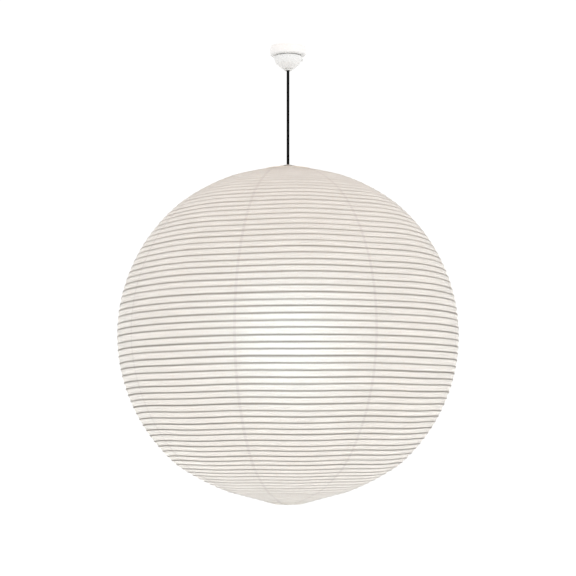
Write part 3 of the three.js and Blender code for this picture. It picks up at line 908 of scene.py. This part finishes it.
def edge_angle(hoop_radius, cap):
    """Angle from its pole at which the paper ends, just outside a hoop's wrapped wire."""
    reach = hoop_radius + HOOP_WIRE_RADIUS + HOOP_WRAP + PAPER_EDGE_GAP
    return math.asin(reach / (SHADE_RADIUS * (1 - cap[0])))


PAPER_TOP = edge_angle(TOP_HOOP_RADIUS, TOP_CAP)
PAPER_LOW = math.pi - edge_angle(BOTTOM_HOOP_RADIUS, BOTTOM_CAP)


def turns_before(azimuth):
    """Share of a turn that the rib has made when it first crosses this azimuth."""
    return ((FIRST_SEAM - azimuth) / (2 * math.pi)) % 1


def rib_polar(turn):
    """Polar angle of the rib after this many turns, with its unevenness."""
    wander = sum(np.sin(rate * turn + phase) for rate, phase in RIB_WANDER_WAVES)
    return RIB_TOP_ANGLE + RIB_STEP * turn + RIB_WANDER * wander


def gore_rows(turn_share, plain_rows=6):
    """Polar angles and sags of a gore's rows where the rib has turned by this share."""
    whole_turns = np.arange(RIB_TURNS)
    crossings = rib_polar(whole_turns + turn_share)
    steps = np.arange((RIB_TURNS - 1) * ROWS_PER_STEP) / ROWS_PER_STEP
    above = np.linspace(PAPER_TOP, crossings[0], plain_rows, endpoint=False)
    below = np.linspace(crossings[-1], PAPER_LOW, plain_rows + 1)
    polar = np.concatenate([above, np.interp(steps, whole_turns, crossings), below])
    sag = np.concatenate([0 * above, PAPER_SAG * np.sin(np.pi * (steps % 1)), 0 * below])
    return polar, sag


def gore_mesh(index):
    """One gore from its seam to the next, its first edge lapped over its neighbour."""
    start = FIRST_SEAM + index * GORE_SPAN
    # A column is its angle from the seam, the laps added to that, and its lift.
    columns = [(0.0, -1, LAP_LIFT), (0.0, 0, LAP_LIFT), (0.0, 1, 0.0)]
    columns += [(angle, 0, 0.0) for angle in np.linspace(0, GORE_SPAN, COLUMNS_PER_GORE + 1)[1:]]
    points = []
    for angle, laps, lift in columns:
        nudge = -SEAM_NUDGE if angle == GORE_SPAN else SEAM_NUDGE
        polar, sag = gore_rows(turns_before(start + angle + nudge))
        shift = laps * LAP_WIDTH / (SHADE_RADIUS * np.sin(polar))
        points.append(shade_points(polar, start + angle + shift, sag - lift))
    mesh = shaded(cleaned(from_grid(np.stack(points, axis=1))), math.radians(60))
    mesh.materials.append(PAPER)
    mesh.materials.append(LAP_PAPER)
    faces_per_row = len(columns) - 1
    for face in mesh.polygons:
        face.material_index = int(face.index % faces_per_row == 0)
    return mesh


def fold_with_shade(piece):
    """Gives the piece a mesh of its own."""
    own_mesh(piece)


def add_gores():
    for index in range(GORE_COUNT):
        name = f"gore_{index + 1}"
        gore = add_piece(name, gore_mesh(index), "shade", PAPER, f"paper_{name}")
        fold_with_shade(gore)


def add_rib():
    per_turn = COLUMNS_PER_GORE * GORE_COUNT
    turn = np.arange(RIB_TURNS * per_turn + 1) / per_turn
    azimuth = FIRST_SEAM - turn * 2 * math.pi
    path = shade_points(rib_polar(turn), azimuth, RIB_INSET)
    centre = np.array((0, 0, SHADE_CENTRE_Z))
    outward = path - centre
    outward /= np.linalg.norm(outward, axis=1)[:, None]
    along = np.gradient(path, axis=0)
    upward = np.cross(along, outward)
    upward /= np.linalg.norm(upward, axis=1)[:, None]
    round_section = np.linspace(0, 2 * np.pi, 8, endpoint=False)[:, None]

    def section(index):
        """The rib's oval section, wider towards the bottom and a little uneven."""
        widening = RIB_WIDENING * (index / len(path) - 0.5)
        unevenness = sum(share * math.sin(rate * index) for share, rate in RIB_WIDTH_WAVES)
        half_width = RIB_HALF_WIDTH * (1 + widening + unevenness)
        return (RIB_HALF_THICKNESS * np.cos(round_section) * outward[index]
                + half_width * np.sin(round_section) * upward[index])

    rib = add_piece("rib", swept(path, section), "shade", BAMBOO, "rib_spiral")
    fold_with_shade(rib)


def band(from_polar, to_polar, inset, rows=6, around=96):
    """A ring of the shade's surface between two polar angles."""
    polar = np.linspace(from_polar, to_polar, rows)[:, None]
    azimuth = np.linspace(0, 2 * math.pi, around, endpoint=False)[None, :]
    points = shade_points(polar + 0 * azimuth, azimuth + 0 * polar, inset)
    return shaded(cleaned(from_grid(points, wrap_columns=True)))


def add_hoop(name, body, radius, z):
    hoop = ring(radius, HOOP_WIRE_RADIUS, z)
    add_piece(f"{name}_hoop_wire", hoop, body, HOOP_WIRE, f"{name}_hoop")


def add_cuff(name, body, edge, inward):
    """A band of doubled paper inside the shade, next to its mouth."""
    near = edge + inward * CUFF_START / SHADE_RADIUS
    far = near + inward * CUFF_WIDTH / SHADE_RADIUS
    cuff = add_piece(f"{name}_cuff_band", band(near, far, CUFF_INSET), body,
                     CUFF_PAPER, f"{name}_cuff")
    return cuff


def add_wrap(name, body, hoop_radius, z):
    """Paper round the outside of a hoop's wire."""
    angle = np.linspace(0, 2 * np.pi, 96, endpoint=False)[None, :]
    section = np.linspace(-WRAP_HALF_ANGLE, WRAP_HALF_ANGLE, 18)[:, None]
    reach = HOOP_WIRE_RADIUS + HOOP_WRAP
    radius = hoop_radius + reach * np.cos(section)
    points = np.stack([
        radius * np.cos(angle),
        radius * np.sin(angle),
        z + reach * np.sin(section) + 0 * angle,
    ], axis=-1)
    mesh = shaded(cleaned(from_grid(points, wrap_columns=True)))
    wrap = add_piece(f"{name}_hoop_wrap", mesh, body, CUFF_PAPER)


def add_mouths():
    add_hoop("top", "top_hoop", TOP_HOOP_RADIUS, TOP_HOOP_Z)
    add_cuff("top", "top_hoop", PAPER_TOP, 1)
    add_wrap("top", "top_hoop", TOP_HOOP_RADIUS, TOP_HOOP_Z)
    add_hoop("bottom", "shade", BOTTOM_HOOP_RADIUS, BOTTOM_HOOP_Z)
    bottom_cuff = add_cuff("bottom", "shade", PAPER_LOW, -1)
    fold_with_shade(bottom_cuff)
    add_wrap("bottom", "shade", BOTTOM_HOOP_RADIUS, BOTTOM_HOOP_Z)


# ---------------------------------------------------------------- carried-over CAD nodes

KEPT_NODES = {
    "mounting_screw_left": SCREW,
    "mounting_screw_right": SCREW,
    "contact_spring_left": BRASS,
    "contact_spring_right": BRASS,
    "plug_insulator": PLUG,
    "plug_blade_left": BRASS,
    "plug_blade_right": BRASS,
    "cord_anchor": HOLDER,
    "holder_core": CERAMIC,
    "holder_centre_contact": BRASS,
    "holder_side_contact": BRASS,
    "bulb_cap_insulator": CAP_GLASS,
    "bulb_tip_contact": NICKEL,
    "bulb_driver_board": CIRCUIT,
    "led_board": LED_PLATE,
    "led_emitter": PHOSPHOR,
}


def finish_kept_nodes():
    """Gives the CAD pieces that keep their shape a material of their own."""
    for name, material in KEPT_NODES.items():
        for material_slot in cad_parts[name].material_slots:
            material_slot.material = material


# ---------------------------------------------------------------- studio

FLOOR_Z = -5.0  # low, so that the lantern can be looked at from below
FLOOR_HALF = 30.0
WORLD_STRENGTH = 1.08
WHITE = (1.0, 1.0, 1.0)


def add_floor():
    work = bmesh.new()
    bmesh.ops.create_grid(work, x_segments=8, y_segments=8, size=FLOOR_HALF)
    mesh = bpy.data.meshes.new("floor")
    work.to_mesh(mesh)
    work.free()
    mesh.materials.append(studio_floor())
    floor = bpy.data.objects.new("floor", mesh)
    floor.location.z = FLOOR_Z
    bpy.context.scene.collection.objects.link(floor)


def add_light(name, power, size, place, colour):
    data = bpy.data.lights.new(name, "AREA")
    data.energy = power
    data.color = colour
    data.size = size
    light = bpy.data.objects.new(name, data)
    light.location = place
    towards = Vector((0, 0, SHADE_CENTRE_Z)) - light.location
    light.rotation_euler = towards.to_track_quat("-Z", "Y").to_euler()
    bpy.context.scene.collection.objects.link(light)


def add_studio():
    world = bpy.data.worlds.new("studio")
    world.use_nodes = True
    background = world.node_tree.nodes["Background"]
    background.inputs["Color"].default_value = (*WHITE, 1)
    background.inputs["Strength"].default_value = WORLD_STRENGTH
    bpy.context.scene.world = world
    add_light("key", power=18, size=2.0, place=(2.6, -3.0, 1.0), colour=WHITE)
    add_light("top", power=24, size=1.6, place=(0.0, -0.3, 1.9), colour=(1.0, 0.62, 0.46))
    bpy.context.scene.view_settings.view_transform = "Standard"


add_camera()
add_cord()
add_rosette()
add_plug()
add_holder()
add_bulb()
add_frame()
add_gores()
add_rib()
add_mouths()
finish_kept_nodes()
add_floor()
add_studio()
